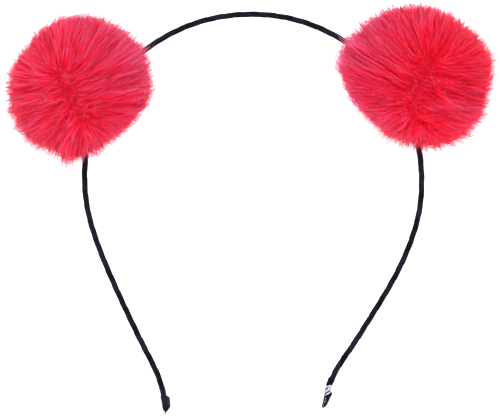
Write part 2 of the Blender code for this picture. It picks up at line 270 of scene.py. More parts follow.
def tapeMaterial():
    # metallised film tape, crumpled: bright and silvery, with creases 0.8 mm apart in its bump, and
    # grey patches on the same creases that are painted reflections
    material, tree, shader = startMaterial("metallisedFilmTape", {
        "Roughness": 0.3, "Specular IOR Level": 0.6, "Coat Weight": 0.4,
    })
    place = addNode(tree, "TexCoord")
    creasesAndPaintedReflections = addNode(tree, "TexNoise", inputs={
        "Vector": place.outputs["Object"], "Scale": 1300.0, "Detail": 3.0,
    })
    colour = addNode(tree, "ValToRGB", inputs={"Fac": creasesAndPaintedReflections.outputs["Fac"]})
    setRamp(colour, [(0.35, "#9393a8"), (0.6, "#ccccdb")])
    bump = addNode(tree, "Bump", inputs={
        "Height": creasesAndPaintedReflections.outputs["Fac"], "Strength": 0.5, "Distance": 0.0001,
    })
    tree.links.new(colour.outputs["Color"], shader.inputs["Base Color"])
    tree.links.new(bump.outputs["Normal"], shader.inputs["Normal"])
    return material


def threadMaterial():
    # black polyester sewing thread, matt, with a twist about 0.4 mm long
    material, tree, shader = startMaterial("polyesterThread", {"Roughness": 0.75})
    place = addNode(tree, "TexCoord")
    twist = addNode(tree, "TexWave", {"bands_direction": "DIAGONAL"}, {
        "Vector": place.outputs["Object"], "Scale": 800.0, "Distortion": 1.0,
    })
    colour = addNode(tree, "ValToRGB", inputs={"Fac": twist.outputs["Fac"]})
    setRamp(colour, [(0.0, "#0a0a0c"), (1.0, "#1c1c22")])
    tree.links.new(colour.outputs["Color"], shader.inputs["Base Color"])
    return material


furMat, backingMat, ribbonMat = furMaterial(), furBackingMaterial(), ribbonMaterial()
tapeMat, wireMat, threadMat = tapeMaterial(), wireMaterial(), threadMaterial()
frayMat = greySatinMaterial("frayedSatin", "#2c2c30", "#464649")
flapMat = greySatinMaterial("lighterGreySatin", "#191923", "#2a2a35")
greyTapeAndPaintedReflectionMat = greySatinMaterial("greyFilmTapeAndPaintedReflections", "#676775", "#8f8f9f")
print("materials made")


# small helpers for modelling

def deselect():
    if bpy.context.object and bpy.context.object.mode != "OBJECT":
        bpy.ops.object.mode_set(mode="OBJECT")
    bpy.ops.object.select_all(action="DESELECT")


def applyModifiers(piece):
    bpy.context.view_layer.objects.active = piece
    for modifier in list(piece.modifiers):
        bpy.ops.object.modifier_apply(modifier=modifier.name)


def layDown(piece, place=Matrix()):
    # from the band's flat plane to its place in the frame, with the place in the mesh
    deselect()
    piece.select_set(True)
    bpy.context.view_layer.objects.active = piece
    piece.matrix_world = bandPlane @ place @ piece.matrix_world
    bpy.ops.object.transform_apply(location=True, rotation=True, scale=True)


def dress(piece, material, slotName, *nodes):
    piece.data.materials.clear()
    piece.data.materials.append(material)
    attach(piece, "root")
    if nodes:
        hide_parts(*nodes)


def recalculateNormals():
    # turns all faces outwards and leaves edit mode
    bpy.ops.mesh.select_all(action="SELECT")
    bpy.ops.mesh.normals_make_consistent(inside=False)
    bpy.ops.object.mode_set(mode="OBJECT")


def meshFromArrays(name, points, triangles, uv):
    # points (n, 3), triangles (m, 3), uv one pair for each point
    mesh = bpy.data.meshes.new(name)
    mesh.vertices.add(len(points))
    mesh.vertices.foreach_set("co", points.astype(np.float32).ravel())
    corners = triangles.astype(np.int32).ravel()
    mesh.loops.add(len(corners))
    mesh.loops.foreach_set("vertex_index", corners)
    mesh.polygons.add(len(triangles))
    mesh.polygons.foreach_set("loop_start", np.arange(0, len(corners), 3, dtype=np.int32))
    mesh.update(calc_edges=True)
    layer = mesh.uv_layers.new(name="OFBake")
    layer.data.foreach_set("uv", uv[corners].astype(np.float32).ravel())
    mesh.shade_smooth()
    piece = bpy.data.objects.new(name, mesh)
    bpy.context.scene.collection.objects.link(piece)
    return piece


# fur balls: a stuffed head, short underfur and long combed pile, strand by strand

furBalls = {
    "left": {
        "side": -1, "downLeg": 0.358, "out": 0.37,  # where it is bound, as in the frame
        "radius": 0.0302, "depth": 0.97,
        # reach of the fur from the front, every 15 degrees from the right round by the top
        "outline": [
            0.99, 0.97, 1.03, 0.99, 0.97, 0.97, 0.95, 0.93, 0.89, 0.85, 0.88, 0.92,
            0.92, 0.94, 0.96, 0.98, 0.92, 0.94, 0.95, 0.92, 0.83, 0.82, 0.83, 0.88,
        ],
        "tuft": (260, 4.5, 0.11),  # a lock that sticks out: angle, width in degrees, how far
        # the line that the pile is combed away from: x, y as shares of the radius
        "parting": [(-0.19, 0.12), (-0.12, -0.04), (0.0, -0.28), (0.13, -0.52)],
        # painted light: this ball's fur is paler towards the upper right, and the core's deeper red
        # is painted shade
        "shade": 0.25, "corePaintedShade": 0.0, "pale": ((0.7, 0.5), 0.12),  # paler towards the upper right
        "seed": 11,
    },
    "right": {
        "side": 1, "downLeg": 0.327, "out": 0.31,
        "radius": 0.0302, "depth": 0.97,
        "outline": [
            0.99, 1.07, 1.00, 0.96, 0.92, 0.94, 0.94, 0.95, 0.97, 0.99, 1.04, 1.05,
            0.94, 0.88, 0.84, 0.81, 0.89, 0.89, 0.94, 0.99, 1.03, 1.06, 1.01, 1.00,
        ],
        "tuft": (169, 7, 0.03),
        "parting": [(0.13, 0.12), (0.0, -0.12), (-0.15, -0.42), (-0.06, -0.68)],
        # painted light: this ball's fur is paler towards the left, and the core's deeper red is
        # painted shade
        "shade": 0.12, "corePaintedShade": 0.14, "pale": ((-0.95, 0.1), 0.24),  # paler towards the left
        "seed": 23,
    },
}

pile = {
    "headShare": 0.60,  # stuffed head, as a share of the radius
    "tuftSize": 0.0022, "tuftHeight": 0.0016,  # how rough the head is
    "rootDepth": 0.98,  # roots start just inside the head
    "rootLift": 0.22, "liftWithin": 0.4,  # and higher up at the parting, so that it is no pit
    "clumps": 1900,
    "clumpShake": 0.9, "rootShake": 0.5,  # how uneven clumps and roots are spread
    # how the lie of clumps and strands varies
    "clumpTurn": 0.10, "clumpLean": 0.07, "strandTurn": 0.7, "strandLean": 0.11,
    "pullVaries": (0.6, 1.2), "pullRise": 1.5,  # how clumps draw together towards the tips
    "backUpright": 0.85, "backFrom": (1.4, 2.0),  # strands stand up again at the back
    "sway": 0.0005,  # slow wave along each strand
    "reachLimits": (0.75, 1.12), "widthVaries": (0.7, 1.3),
    # single hairs that catch the light, their highlight painted as a paler shade: how many, how many
    # more on the pale side, how they differ
    "bright": 0.07, "brightSide": 0.9, "brightReach": 0.02, "brightPaintedHighlight": 0.7, "brightWidth": 1.3,
    # shade: paler away from the parting, which is painted light on the rim hairs, deeper at it, which
    # is painted shade where one looks into the fur, and how clumps and strands differ
    "outerPaintedLight": 0.24, "outerFrom": (0.5, 1.3), "coreFrom": (0.5, 0.0),
    "clumpShade": 0.14, "strandShade": 0.12, "shadeLimits": (0.01, 0.99),
    "floorGap": 0.0003,
    "bandGap": 0.0012,  # strands keep this far from the middle of the band
    "bandReach": 0.045,  # and the band is looked at this far to both sides of the ball's seat
    "bandSteps": 180, "partingSteps": 14, "pointsAtOnce": 20000,
}

# for each layer: strands in a piece and pieces, reach as a share of the radius, width, lean away
# from the parting in radians and where it starts, how late a strand lies down and how early it
# rises, its thickness from end to end, how strongly clumps draw together and how pointed they are,
# how much clumps and strands differ in reach, shade, how far a strand strays sideways and how many
# lie the other way
furLayers = {
    "underfur": {
        "strands": 23000, "pieces": 1, "reach": 0.91, "width": 0.00046,
        "lean": 0.5, "lieFrom": (-0.15, 0.55),
        "bend": 1.3, "rise": 1.6, "profile": [0, 1, 0], "pull": 0.2, "point": 0.05,
        "clumpReach": 0.02, "strandReach": 0.04, "shade": -0.05, "stray": 0.09, "backwards": 0.0,
    },
    "pile": {
        "strands": 10900, "pieces": 3, "reach": 0.965, "width": 0.00020,
        "lean": 0.80, "lieFrom": (-0.15, 0.55),
        "bend": 1.5, "rise": 2.3, "profile": [0, 0.85, 1.0, 0.75, 0], "pull": 0.13, "point": 0.04,
        "clumpReach": 0.015, "strandReach": 0.052, "shade": 0.0, "stray": 0.10, "backwards": 0.0,
    },
    # the fringe's higher shade makes its hairs paler: painted light through the thin hairs at the rim
    "fringe": {
        "strands": 11000, "pieces": 1, "reach": 1.055, "width": 0.00020,
        "lean": 0.5, "lieFrom": (-0.15, 0.55),
        "bend": 1.4, "rise": 1.5, "profile": [0, 0.8, 0.9, 0.5, 0], "pull": 0.6, "point": 0.10,
        "clumpReach": 0.035, "strandReach": 0.08, "shade": 0.25, "stray": 0.16, "backwards": 0.0,
    },
    "cover": {  # loose hairs that lie over the parting
        "strands": 42000, "within": 0.26, "pieces": 1, "reach": 0.93, "width": 0.00020,
        "lean": 0.45, "lieFrom": (-1.0, -0.5),
        "bend": 1.2, "rise": 2.0, "profile": [0, 0.85, 1.0, 0.75, 0], "pull": 0.25, "point": 0.05,
        "clumpReach": 0.02, "strandReach": 0.03, "shade": 0.02, "stray": 0.8, "backwards": 0.5,
    },
}


def unit(vectors):
    return vectors / np.maximum(np.linalg.norm(vectors, axis=-1, keepdims=True), 1e-12)


def spreadDirections(count, looseness, draw):
    # directions spread evenly over a ball, then shaken
    k = np.arange(count) + 0.5
    height = 1 - 2 * k / count
    around = math.pi * (1 + 5 ** 0.5) * k  # by the golden angle
    flat = np.sqrt(1 - height**2)
    spread = np.stack([flat * np.cos(around), flat * np.sin(around), height], axis=1)
    spread += draw.normal(0, looseness / math.sqrt(count), spread.shape)
    return unit(spread)


def partingPoints(ball):
    # the parting as points on a ball of radius 1, front side
    line = smoothLine(ball["parting"], pile["partingSteps"])
    return np.column_stack([line, np.sqrt(1 - (line**2).sum(axis=1))])


def combed(directions, parting):
    # which way each strand leans, and how near the parting it is
    away = np.zeros_like(directions)
    nearest = np.full(len(directions), 9.0)
    for point in parting:
        gap = directions - point
        distance = np.linalg.norm(gap, axis=1) + 1e-6
        away += gap / distance[:, None] ** 4
        nearest = np.minimum(nearest, distance)
    away -= directions * (away * directions).sum(axis=1, keepdims=True)
    return unit(away), nearest


def smoothStep(low, high, values):
    share = np.clip((values - low) / (high - low), 0, 1)
    return share * share * (3 - 2 * share)


def reachOf(directions, ball):
    around = np.degrees(np.arctan2(directions[:, 1], directions[:, 0])) % 360
    shares = np.interp(around, np.arange(0, 361, 15), ball["outline"] + ball["outline"][:1])
    at, width, longer = ball["tuft"]
    shares += longer * np.exp(-((around - at) / width) ** 2)
    inPlane = np.hypot(directions[:, 0], directions[:, 1])
    return ball["depth"] + (shares - ball["depth"]) * inPlane


def strandPaths(roots, tangents, lean, reach, rootRadius, shares, layer):
    # each strand leaves the head almost upright and lies down towards its tip
    paths = []
    for share in shares:
        angle = (lean * share ** layer["bend"])[:, None]
        direction = roots * np.cos(angle) + tangents * np.sin(angle)
        radius = rootRadius + (reach - rootRadius) * (1 - (1 - share) ** layer["rise"])
        paths.append(direction * radius[:, None])
    return np.stack(paths, axis=1)


def keepClear(paths, centre, ball):
    # strands bend along the floor and round the band
    points = (paths + centre).reshape(-1, 3)
    middle = ballSeat(ball)
    near = np.linspace(middle - pile["bandReach"], middle + pile["bandReach"], pile["bandSteps"])
    line = np.array([bandPoint(s)[:] for s in near])
    for start in range(0, len(points), pile["pointsAtOnce"]):
        block = points[start:start + pile["pointsAtOnce"]]
        gaps = block[:, None, :] - line[None, :, :]
        distance = np.linalg.norm(gaps, axis=2)
        closest = distance.argmin(axis=1)
        gap = gaps[np.arange(len(block)), closest]
        length = distance[np.arange(len(block)), closest]
        inside = length < pile["bandGap"]
        block[inside] += unit(gap[inside]) * (pile["bandGap"] - length[inside])[:, None]
    upFromFloor = np.array(bandPlane.to_3x3())[2]
    heights = points @ upFromFloor + bandPlane.translation.z
    low = np.maximum(pile["floorGap"] - heights, 0)
    points += upFromFloor * low[:, None]
    return points.reshape(paths.shape)


def ballSeat(ball):
    if ball["side"] < 0:
        return crownAt * (1 - ball["downLeg"])
    return crownAt + (bandLength - crownAt) * ball["downLeg"]


def spindles(paths, widths, profile):
    # closed three-sided strands: a point, rings and a point; returns points and triangles
    count, steps, _ = paths.shape
    ahead = unit(np.gradient(paths, axis=1))
    side = unit(np.cross(ahead, paths + 1e-9))
    over = np.cross(side, ahead)
    corners = [paths[:, 0]]
    for ring in range(1, steps - 1):
        for turn in range(3):
            angle = 2 * math.pi * turn / 3 + math.pi / 2
            offset = side[:, ring] * math.cos(angle) + over[:, ring] * math.sin(angle)
            corners.append(paths[:, ring] + offset * (widths * profile[ring] / 2)[:, None])
    corners.append(paths[:, -1])
    points = np.stack(corners, axis=1)
    each = points.shape[1]
    faces = [(0, 1 + (k + 1) % 3, 1 + k) for k in range(3)]
    for ring in range(steps - 3):
        for k in range(3):
            a, b = 1 + 3 * ring + k, 1 + 3 * ring + (k + 1) % 3
            faces += [(a, b, b + 3), (a, b + 3, a + 3)]
    last = 1 + 3 * (steps - 3)
    faces += [(last + k, last + (k + 1) % 3, each - 1) for k in range(3)]
    triangles = (np.array(faces)[None] + each * np.arange(count)[:, None, None]).reshape(-1, 3)
    along = np.concatenate([[0.0], np.repeat(np.arange(1, steps - 1) / (steps - 1), 3), [1.0]])
    return points.reshape(-1, 3), triangles, along


def growFur(name, ball, centre, layer, seed):
    draw = np.random.default_rng(seed)
    shape = np.random.default_rng(ball["seed"])  # the clumps are the same in every layer
    parting = partingPoints(ball)
    radius = ball["radius"]
    count = layer["strands"]
    shares = np.linspace(0, 1, len(layer["profile"]))

    clumpRoots = spreadDirections(pile["clumps"], pile["clumpShake"], shape)
    clumpTurn = shape.normal(0, pile["clumpTurn"], len(clumpRoots))
    clumpLean = 1 + shape.normal(0, pile["clumpLean"], len(clumpRoots))
    clumpReach = shape.normal(0, 1, len(clumpRoots))
    clumpShade = shape.uniform(-0.5, 0.5, len(clumpRoots))
    clumpPull = layer["pull"] * shape.uniform(*pile["pullVaries"], len(clumpRoots))

    roots = spreadDirections(count, pile["rootShake"], draw)
    if "within" in layer:
        roots = roots[combed(roots, parting)[1] < layer["within"]]
        count = len(roots)
    nearness = roots @ clumpRoots.T
    owner = nearness.argmax(axis=1)
    fromMiddle = np.arccos(np.clip(nearness.max(axis=1), -1, 1)) * math.sqrt(len(clumpRoots)) / 2

    tangents, lean, near = lieOf(roots, parting, layer)
    lifted = pile["rootLift"] * np.exp(-(near / pile["liftWithin"]) ** 2)
    rootRadius = radius * (pile["headShare"] * pile["rootDepth"] + lifted)
    turn = clumpTurn[owner] * pile["strandTurn"] + draw.normal(0, layer["stray"], count)
    tangents[draw.random(count) < layer["backwards"]] *= -1
    tangents = unit(tangents + np.cross(roots, tangents) * turn[:, None])
    lean *= clumpLean[owner] + draw.normal(0, pile["strandLean"], count)
    tips = roots * np.cos(lean)[:, None] + tangents * np.sin(lean)[:, None]
    longer = layer["clumpReach"] * clumpReach[owner] + draw.normal(0, layer["strandReach"], count)
    longer -= layer["point"] * fromMiddle
    # the pale side is painted light: the fur is paler on one side of each ball
    toPale, amount = ball["pale"]
    place = (roots[:, 0] * toPale[0] + roots[:, 1] * toPale[1]) * amount
    bright = draw.random(count) < pile["bright"] + pile["brightSide"] * place
    longer[bright] += pile["brightReach"]  # they lie on top
    reach = radius * layer["reach"] * reachOf(tips, ball) * np.clip(1 + longer, *pile["reachLimits"])

    own = strandPaths(roots, tangents, lean, reach, rootRadius, shares, layer)
    leadTangents, leadLean, _ = lieOf(clumpRoots, parting, layer)
    leadTangents = unit(leadTangents + np.cross(clumpRoots, leadTangents) * clumpTurn[:, None])
    leadLean = (leadLean * clumpLean)[owner]
    lead = strandPaths(
        clumpRoots[owner], leadTangents[owner], leadLean, reach, rootRadius, shares, layer,
    )
    pull = clumpPull[owner][:, None, None] * (shares ** pile["pullRise"])[None, :, None]
    paths = own + (lead - own) * pull
    swell = np.sin(math.pi * shares)[None, :, None]
    sway = swell * draw.normal(0, pile["sway"], count)[:, None, None]
    paths += np.cross(roots, tangents)[:, None, :] * sway
    paths = keepClear(paths, np.array(centre), ball)

    # shade: each strand has its own, its clump's, and its place's; the place's is painted light and
    # shade: paler away from the parting and towards the pale side, deeper at the parting
    outer = smoothStep(*pile["outerFrom"], near) * pile["outerPaintedLight"]
    core = smoothStep(*pile["coreFrom"], near) * ball["corePaintedShade"]
    shade = ball["shade"] + layer["shade"] + outer - core + place
    shade += pile["clumpShade"] * clumpShade[owner] + draw.normal(0, pile["strandShade"], count)
    # the bright hairs' paler shade is a painted highlight
    shade[bright] += pile["brightPaintedHighlight"]
    shade = np.clip(shade, *pile["shadeLimits"])
    widths = layer["width"] * draw.uniform(*pile["widthVaries"], count)
    widths[bright] *= pile["brightWidth"]
    points, triangles, along = spindles(paths - np.array(centre), widths, layer["profile"])
    points += np.array(centre)
    # u is the strand's shade, v how far along it: both stay off the map's edges
    uv = np.column_stack([np.repeat(shade, len(along)), np.tile(along * 0.98 + 0.01, count)])
    piece = meshFromArrays(name, points, triangles, uv)
    layDown(piece)
    dress(piece, furMat, "fur")
    print(name, len(triangles), "triangles")


def lieOf(directions, parting, layer):
    # upright at the parting, lying down further out, upright again at the back of the ball
    tangents, near = combed(directions, parting)
    lean = layer["lean"] * smoothStep(*layer["lieFrom"], near)
    lean = lean * (1 - pile["backUpright"] * smoothStep(*pile["backFrom"], near))
    return tangents, lean, near


def makeHead(name, ball, centre, node):
    # stuffed knitted ball with short underfur; the band runs through it
    deselect()
    radius = ball["radius"] * pile["headShare"]
    bpy.ops.mesh.primitive_ico_sphere_add(subdivisions=5, radius=radius, location=centre)
    head = bpy.context.object
    head.name = name
    bpy.ops.object.transform_apply(location=True, rotation=True, scale=True)
    tufts = bpy.data.textures.new(name + "Tufts", "CLOUDS")
    tufts.noise_scale = pile["tuftSize"]
    rough = head.modifiers.new("tufts", "DISPLACE")
    rough.texture = tufts
    rough.strength = pile["tuftHeight"]
    applyModifiers(head)
    layDown(head)
    dress(head, backingMat, "fur", node)
    print(name, "made")


for side, ball in furBalls.items():
    seatAt = ballSeat(ball)
    centre = bandPoint(seatAt) + bandOutward(seatAt) * ball["radius"] * ball["out"]
    makeHead("furHead_" + side, ball, centre, "pompom_" + side)
    for number, (layerName, layer) in enumerate(furLayers.items()):
        for part in range(layer["pieces"]):
            seed = ball["seed"] + 10 * number + part
            growFur(f"{layerName}_{side}_{part + 1}", ball, centre, layer, seed)


# ribbon wound round the wire

wrap = {
    "pitch": 0.0069,  # one turn along the band
    "ribbonWidth": 0.0082,  # along the band
    "thickness": 0.00019,
    "boreRadius": 0.00084,
    "lapRoom": 1.04,  # a turn rises a little more than its lap over the last one needs
    "edgeRound": 0.3,  # of the cross-section, before it is stretched to size
    "underFold": 0.0038, "underCollar": 0.0006,  # how far it runs on under the tips
    "spare": 0.006,  # wound past both ends, then cut off
    "stepsPerTurn": 24, "pathPoints": 400,
    "smoothAngle": 50,
}


def bandCurve():
    curve = bpy.data.curves.new("bandCurve", "CURVE")
    curve.dimensions = "3D"
    spline = curve.splines.new("POLY")
    at = np.linspace(0, bandLength, wrap["pathPoints"])
    spline.points.add(len(at) - 1)
    for point, s in zip(spline.points, at):
        place = bandPoint(s)
        point.co = (place.x, place.y, 0, 1)
    guide = bpy.data.objects.new("bandCurve", curve)
    bpy.context.scene.collection.objects.link(guide)
    return guide


def makeWrap(guide):
    start = band["foldLength"] - wrap["underFold"]
    end = bandLength - band["capLength"] - band["openLength"] - wrap["underCollar"]
    first, last = start - wrap["spare"], end + wrap["spare"]
    slant = wrap["thickness"] * wrap["ribbonWidth"] / wrap["pitch"] * wrap["lapRoom"]
    low = wrap["boreRadius"] + wrap["thickness"] / 2
    size = (wrap["ribbonWidth"], 1, wrap["thickness"])
    deselect()
    # cross-section of the ribbon, thin and slanted so that each turn laps over the last
    bpy.ops.mesh.primitive_plane_add(size=1, rotation=(math.pi / 2, 0, 0))
    ribbon = bpy.context.object
    ribbon.name = "ribbonWrap"
    bpy.ops.object.transform_apply(location=True, rotation=True, scale=True)
    bpy.ops.object.mode_set(mode="EDIT")
    bpy.ops.mesh.select_all(action="SELECT")
    bpy.ops.mesh.bevel(offset=wrap["edgeRound"], offset_type="OFFSET", segments=2, affect="VERTICES")
    bpy.ops.transform.resize(value=size, center_override=(0, 0, 0))
    tilt = math.atan2(slant, wrap["ribbonWidth"])
    bpy.ops.transform.rotate(value=tilt, orient_axis="Y", center_override=(0, 0, 0))
    bpy.ops.transform.translate(value=(first, 0, low + slant / 2))
    bpy.ops.mesh.delete(type="ONLY_FACE")
    bpy.ops.object.mode_set(mode="OBJECT")
    turns = (last - first) / wrap["pitch"]
    screw = ribbon.modifiers.new("wind", "SCREW")
    screw.axis = "X"
    screw.angle = 2 * math.pi * turns
    screw.screw_offset = last - first
    screw.steps = screw.render_steps = round(wrap["stepsPerTurn"] * turns)
    screw.use_merge_vertices = False
    applyModifiers(ribbon)
    # cut square where the tips cover it
    for cut, side in ((start, -1), (end, 1)):
        bpy.ops.object.mode_set(mode="EDIT")
        bpy.ops.mesh.select_all(action="SELECT")
        bpy.ops.mesh.bisect(
            plane_co=(cut, 0, 0), plane_no=(side, 0, 0), clear_outer=True, use_fill=True,
        )
        bpy.ops.object.mode_set(mode="OBJECT")
    follow = ribbon.modifiers.new("follow the band", "CURVE")
    follow.object = guide
    follow.deform_axis = "POS_X"
    applyModifiers(ribbon)
    layDown(ribbon)
    bpy.ops.object.mode_set(mode="EDIT")
    recalculateNormals()
    bpy.ops.object.shade_smooth_by_angle(angle=math.radians(wrap["smoothAngle"]))
    dress(ribbon, ribbonMat, "ribbon", "band_wrap")
    print("ribbonWrap", len(ribbon.data.polygons), "faces")


guide = bandCurve()
makeWrap(guide)
bpy.data.objects.remove(guide)


# the two tips: millimetres from the end of the band, x to the right in the picture, y up the band

tipFinish = {
    "cornerRound": 0.42, "cornerSteps": 5,  # of a cross-section, before it is stretched to size
    "lip": 0.00014,  # rim left round an open end
    "smoothAngle": 40,
}


def tipPlace(distance, upSign):
    up = bandDirection(distance) * upSign
    across = up.cross(Vector((0, 0, 1)))
    turn = Matrix((across, up, Vector((0, 0, 1)))).transposed().to_4x4()
    return Matrix.Translation(bandPoint(distance)) @ turn


def extrudeSections(name, sections, endTurn=0.0, lip=0.0):
    # a solid drawn out along y from rounded cross-sections: x, y, z, width and depth of each
    rings = np.array(sections) / 1000
    deselect()
    bpy.ops.mesh.primitive_plane_add(size=1, rotation=(math.pi / 2, 0, 0))
    piece = bpy.context.object
    piece.name = name
    bpy.ops.object.transform_apply(location=True, rotation=True, scale=True)
    bpy.ops.object.mode_set(mode="EDIT")
    bpy.ops.mesh.select_all(action="SELECT")
    bpy.ops.mesh.bevel(
        offset=tipFinish["cornerRound"], segments=tipFinish["cornerSteps"],
        offset_type="OFFSET", affect="VERTICES",
    )
    bpy.ops.transform.resize(value=(rings[0][3], 1, rings[0][4]), center_override=(0, 0, 0))
    bpy.ops.transform.translate(value=tuple(rings[0][:3]))
    for before, after in zip(rings[:-1], rings[1:]):
        step = tuple(after[:3] - before[:3])
        bpy.ops.mesh.extrude_region_move(TRANSFORM_OT_translate={"value": step})
        grow = (after[3] / before[3], 1, after[4] / before[4])
        bpy.ops.transform.resize(value=grow, center_override=tuple(after[:3]))
    if endTurn:
        end = tuple(rings[-1][:3])
        bpy.ops.transform.rotate(value=endTurn, orient_axis="Z", center_override=end)
    if lip:
        bpy.ops.mesh.inset(thickness=lip)
        bpy.ops.mesh.extrude_region_move(TRANSFORM_OT_translate={"value": (0, -3 * lip, 0)})
    recalculateNormals()
    return piece


def crumple(piece, size, depth, cuts):
    # soft dents and wrinkles
    deselect()
    piece.select_set(True)
    bpy.context.view_layer.objects.active = piece
    bpy.ops.object.mode_set(mode="EDIT")
    bpy.ops.mesh.select_all(action="SELECT")
    bpy.ops.mesh.subdivide(number_cuts=cuts, smoothness=0.6)
    bpy.ops.object.mode_set(mode="OBJECT")
    wrinkles = bpy.data.textures.new(piece.name + "Wrinkles", "CLOUDS")
    wrinkles.noise_scale = size
    dents = piece.modifiers.new("wrinkles", "DISPLACE")
    dents.texture = wrinkles
    dents.strength = depth
    applyModifiers(piece)
    bpy.ops.object.shade_smooth_by_angle(angle=math.radians(tipFinish["smoothAngle"]))


def windStrip(name, strip):
    # a flat strip laid round the band: angles in degrees from the front, the rest in millimetres,
    # its width at the start, past the middle and at the end
    deselect()
    bpy.ops.mesh.primitive_grid_add(x_subdivisions=28, y_subdivisions=4, size=1)
    piece = bpy.context.object
    piece.name = name
    body = piece.modifiers.new("thickness", "SOLIDIFY")
    body.thickness = strip["thickness"]
    body.offset = 0
    applyModifiers(piece)
    flat = np.empty(len(piece.data.vertices) * 3)
    piece.data.vertices.foreach_get("co", flat)
    flat = flat.reshape(-1, 3)
    share = flat[:, 0] + 0.5
    start, end = np.radians(strip["angles"])
    angle = start + (end - start) * share
    width = np.interp(share, [0, 0.6, 1], strip["widths"])
    radius = strip["radius"] + flat[:, 2]
    along = strip["frontAt"] + strip["pitch"] * angle / (2 * math.pi) + flat[:, 1] * width
    middle = np.interp(along, *strip["middle"])
    wound = np.column_stack([radius * np.sin(angle) + middle, along, radius * np.cos(angle)]) / 1000
    piece.data.vertices.foreach_set("co", wound.ravel())
    piece.data.update()
    bpy.ops.object.mode_set(mode="EDIT")
    recalculateNormals()
    bpy.ops.object.shade_smooth_by_angle(angle=math.radians(tipFinish["smoothAngle"]))
    return piece


leftTip = {
    # ribbon folded over the end and stuck: left edge, right edge, y and depth
    "block": [
        (-0.35, 0.45, -1.35, 0.6), (-0.75, 0.82, -1.0, 0.95), (-1.02, 1.2, -0.65, 1.3),
        (-1.12, 1.6, -0.2, 1.7), (-1.14, 1.86, 0.2, 1.9), (-1.16, 2.0, 0.8, 2.15),
        (-1.2, 2.1, 2.4, 2.5), (-1.36, 2.2, 4.0, 2.5), (-1.44, 1.98, 4.4, 2.45),
        (-1.46, 1.5, 4.8, 2.4), (-1.4, 1.15, 5.05, 2.35), (-1.12, 0.98, 5.5, 2.15),
    ],
    # frayed corner below it: x, y, z, width, depth
    "tail": [
        (0.1, -1.1, 0.05, 0.7, 0.5), (-0.1, -1.5, 0.1, 0.75, 0.5),
        (-0.4, -1.95, 0.1, 0.65, 0.4), (-0.75, -2.45, 0.1, 0.3, 0.25),
    ],
    # the layer on top, at the right, in a lighter grey satin
    "flap": [
        (1.6, 0.1, 1.02, 0.6, 0.2), (1.68, 0.5, 1.12, 0.92, 0.3), (1.7, 1.2, 1.2, 1.05, 0.32),
        (1.76, 3.6, 1.24, 1.08, 0.32), (1.72, 4.25, 1.2, 1.0, 0.3), (1.55, 4.65, 1.14, 0.7, 0.2),
    ],
}


def makeLeftTip():
    place = tipPlace(0.0, 1)
    block = extrudeSections("ribbonFold", [
        ((left + right) / 2, y, 0, right - left, depth) for left, right, y, depth in leftTip["block"]
    ])
    crumple(block, size=0.0011, depth=0.00016, cuts=2)
    layDown(block, place)
    dress(block, ribbonMat, "ribbon", "ribbon_fold_left")
    for name, material in (("tail", frayMat), ("flap", flapMat)):
        piece = extrudeSections("ribbonFold" + name.title(), leftTip[name])
        crumple(piece, size=0.0006, depth=0.00008, cuts=2)
        layDown(piece, place)
        dress(piece, material, "ribbon")
    print("left tip made")


rightTip = {
    # the wire bends a little to the right in the tip: y and x of its middle
    "middle": ([0.0, 4.6, 6.0, 8.0, 10.5, 12.6], [0.15, 0.42, 0.4, 0.28, 0.08, 0.0]),
    # ribbon closed over the end: left edge, right edge, y and depth
    "cap": [
        (0.05, 0.5, 0.5, 0.5), (-0.2, 0.75, 0.8, 0.95), (-0.28, 0.98, 1.2, 1.3),
        (-0.36, 1.27, 1.89, 1.7), (-0.58, 1.38, 2.4, 1.95), (-0.74, 1.57, 3.24, 2.1),
        (-0.8, 1.7, 4.4, 2.3), (-1.15, 2.35, 6.1, 2.45),
    ],
    "capTurn": -0.72,  # its top edge rises to the right
    # frayed end of the wrap below the cap, as all below: x, y, z, width, depth
    "nub": [
        (-0.1, 0.2, 0, 0.5, 0.5), (-0.1, 0.32, 0, 0.95, 0.9), (-0.1, 0.6, 0, 1.22, 1.2),
        (-0.08, 1.0, 0, 1.32, 1.3), (-0.04, 1.45, 0, 1.34, 1.32), (0.0, 2.3, 0, 1.36, 1.34),
    ],
    # bright tape that shows through a slit in the cap
    "slit": [
        (-0.15, 4.45, 1.06, 0.1, 0.1), (-0.1, 4.1, 1.1, 0.24, 0.16), (0.0, 3.3, 1.06, 0.2, 0.16),
        (0.1, 2.5, 0.93, 0.24, 0.14), (0.14, 2.2, 0.86, 0.1, 0.1),
    ],
    "tapeRadius": 1.06, "tapeFrom": 4.4, "tapeTo": 10.4, "tapeRings": 13,
    # last turns of the ribbon on the tape
    "strips": {
        "upper": {
            "angles": (-170, -5), "frontAt": 9.0, "pitch": 7.0,
            "radius": 1.19, "widths": (1.5, 1.4, 0.1), "thickness": 0.22,
        },
        "lower": {
            "angles": (-150, 48), "frontAt": 6.95, "pitch": 7.0,
            "radius": 1.17, "widths": (0.95, 0.8, 0.3), "thickness": 0.2,
        },
    },
    # raised edges of the tape, in a darker grey that paints the dark reflections of its creases
    "ridges": {
        "first": {
            "angles": (-40, 120), "frontAt": 7.75, "pitch": 7.0,
            "radius": 1.1, "widths": (0.2, 0.3, 0.2), "thickness": 0.12,
        },
        "second": {
            "angles": (10, 140), "frontAt": 8.6, "pitch": 7.0,
            "radius": 1.1, "widths": (0.2, 0.25, 0.2), "thickness": 0.12,
        },
    },
    # end of the winding, thicker than the rest
    "collar": [
        (0.06, 12.8, 0, 1.9, 1.9), (0.08, 12.3, 0, 2.1, 2.1), (0.06, 11.2, 0, 2.2, 2.2),
        (-0.02, 10.2, 0, 2.36, 2.3), (-0.06, 9.6, 0, 2.34, 2.25),
    ],
    "collarTurn": -0.24,
}


